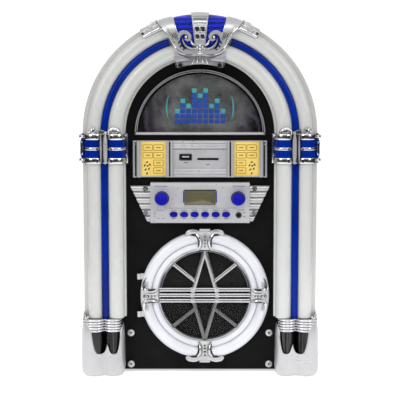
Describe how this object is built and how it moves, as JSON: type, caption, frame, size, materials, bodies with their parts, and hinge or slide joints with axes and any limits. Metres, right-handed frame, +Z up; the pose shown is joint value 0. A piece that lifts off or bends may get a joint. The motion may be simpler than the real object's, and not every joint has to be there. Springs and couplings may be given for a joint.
{
  "type": "tabletop jukebox",
  "caption": "Tabletop jukebox with arched light tubes, chrome boots, collars and crown, a domed window, control panel and a round hinged CD door.",
  "frame": {"origin": "on the surface it stands on, under the middle of its width and depth", "axes": "+Z up, the front faces -Y, +X to the right seen from the front"},
  "size_m": [0.2754, 0.175, 0.4203],
  "materials": {
    "cabinet_black": "fine grained, dull",
    "panel_black": "smooth, faint sheen",
    "tube_white": "milky, light diffusing",
    "ring_white": "smooth, glossy",
    "stripe_blue": "glossy",
    "insert_blue": "metallic, ribbed",
    "control_blue": "satin",
    "chrome_trim": "plated plastic, mirror bright",
    "silver_trim": "silver lacquer, satin",
    "clear_window": "clear, polished",
    "display_lens": "smoked, glossy",
    "backdrop_card": "dark patterned foil",
    "card_yellow": "printed card",
    "rubber_black": "matte",
    "steel_plate": "drawn sheet",
    "dark_plastic": "moulded",
    "board_green": "solder mask",
    "magnet_dark": "ground",
    "cone_paper": "pressed paper",
    "screw_steel": "plated"
  },
  "bodies": {
    "cabinet": {"cabinet_shell": "cabinet_black", "rear_cover": "cabinet_black", "front_panel": "panel_black", "rubber_feet": "rubber_black", "left_column_tubes": "tube_white", "right_column_tubes": "tube_white", "arch_tubes": "tube_white", "column_stripes": "stripe_blue", "arch_stripe": "stripe_blue", "left_collar": "chrome_trim", "right_collar": "chrome_trim", "collar_inlays": "stripe_blue", "left_boot": "chrome_trim", "right_boot": "chrome_trim", "case_screws": "screw_steel", "crown_casting": "chrome_trim", "crown_insert": "insert_blue", "dome_frame": "silver_trim", "dome_window": "clear_window", "dome_backdrop": "backdrop_card", "selection_panel": "silver_trim", "title_cards": "card_yellow", "usb_port": "steel_plate", "card_slot": "dark_plastic", "control_panel": "silver_trim", "panel_wings": "chrome_trim", "display_window": "display_lens", "rotary_controls": "dark_plastic", "control_board": "board_green", "audio_jack": "screw_steel", "hinge_brackets": "dark_plastic", "hinge_pins": "screw_steel", "door_catch": "magnet_dark", "cd_deck": "dark_plastic", "sled_rails": "screw_steel", "cd_motors": "steel_plate", "speaker_drivers": "magnet_dark", "speaker_cones": "cone_paper", "speaker_grilles": "dark_plastic", "main_board": "board_green", "led_strips": "board_green", "dc_socket": "dark_plastic", "power_switch": "dark_plastic"},
    "cd_door": {"door_ring": "ring_white", "door_window": "clear_window", "door_grille": "chrome_trim", "door_ornaments": "chrome_trim", "door_knuckles": "silver_trim"},
    "tuning_knob_body": {"tuning_knob": "control_blue"},
    "volume_knob_body": {"volume_knob": "control_blue"},
    "turntable_hub_body": {"turntable_hub": "dark_plastic"},
    "laser_sled_body": {"laser_sled": "dark_plastic"},
    "sled_gear_body": {"sled_gear": "dark_plastic"},
    "power_rocker_body": {"power_rocker": "dark_plastic"},
    "button_1_body": {"button_1": "control_blue"},
    "button_2_body": {"button_2": "control_blue"},
    "button_3_body": {"button_3": "control_blue"},
    "button_4_body": {"button_4": "control_blue"},
    "button_5_body": {"button_5": "control_blue"},
    "button_6_body": {"button_6": "control_blue"}
  },
  "joints": [
    {"name": "door_hinge", "type": "hinge", "parent": "cabinet", "child": "cd_door", "pos_m": [-0.071, -0.062, 0.092], "axis": [0, 0, -1], "range_deg": [0, 95]},
    {"name": "tuning_turn", "type": "hinge", "parent": "cabinet", "child": "tuning_knob_body", "pos_m": [-0.044, -0.0675, 0.206], "axis": [0, 1, 0], "range_deg": [-150, 150]},
    {"name": "volume_turn", "type": "hinge", "parent": "cabinet", "child": "volume_knob_body", "pos_m": [0.044, -0.0675, 0.206], "axis": [0, 1, 0], "range_deg": [-150, 150]},
    {"name": "button_1_press", "type": "slide", "parent": "cabinet", "child": "button_1_body", "axis": [0, 1, 0], "range_m": [0, 0.0008], "stiffness_N_per_m": 600},
    {"name": "button_2_press", "type": "slide", "parent": "cabinet", "child": "button_2_body", "axis": [0, 1, 0], "range_m": [0, 0.0008], "stiffness_N_per_m": 600},
    {"name": "button_3_press", "type": "slide", "parent": "cabinet", "child": "button_3_body", "axis": [0, 1, 0], "range_m": [0, 0.0008], "stiffness_N_per_m": 600},
    {"name": "button_4_press", "type": "slide", "parent": "cabinet", "child": "button_4_body", "axis": [0, 1, 0], "range_m": [0, 0.0008], "stiffness_N_per_m": 600},
    {"name": "button_5_press", "type": "slide", "parent": "cabinet", "child": "button_5_body", "axis": [0, 1, 0], "range_m": [0, 0.0008], "stiffness_N_per_m": 600},
    {"name": "button_6_press", "type": "slide", "parent": "cabinet", "child": "button_6_body", "axis": [0, 1, 0], "range_m": [0, 0.0008], "stiffness_N_per_m": 600},
    {"name": "turntable_spin", "type": "hinge", "parent": "cabinet", "child": "turntable_hub_body", "pos_m": [0.0056, -0.0436, 0.092], "axis": [0, 1, 0], "continuous": true},
    {"name": "sled_slide", "type": "slide", "parent": "cabinet", "child": "laser_sled_body", "axis": [1, 0, 0], "range_m": [0, 0.033]},
    {"name": "gear_spin", "type": "hinge", "parent": "cabinet", "child": "sled_gear_body", "pos_m": [0.0596, -0.0365, 0.0645], "axis": [0, 1, 0], "range_deg": [0, 240]},
    {"name": "rocker_tip", "type": "hinge", "parent": "cabinet", "child": "power_rocker_body", "pos_m": [-0.04, 0.0829, 0.04], "axis": [1, 0, 0], "range_deg": [0, 16]}
  ],
  "couplings": [
    {"joint": "gear_spin", "follows": "sled_slide", "rad_per_m": 125}
  ]
}
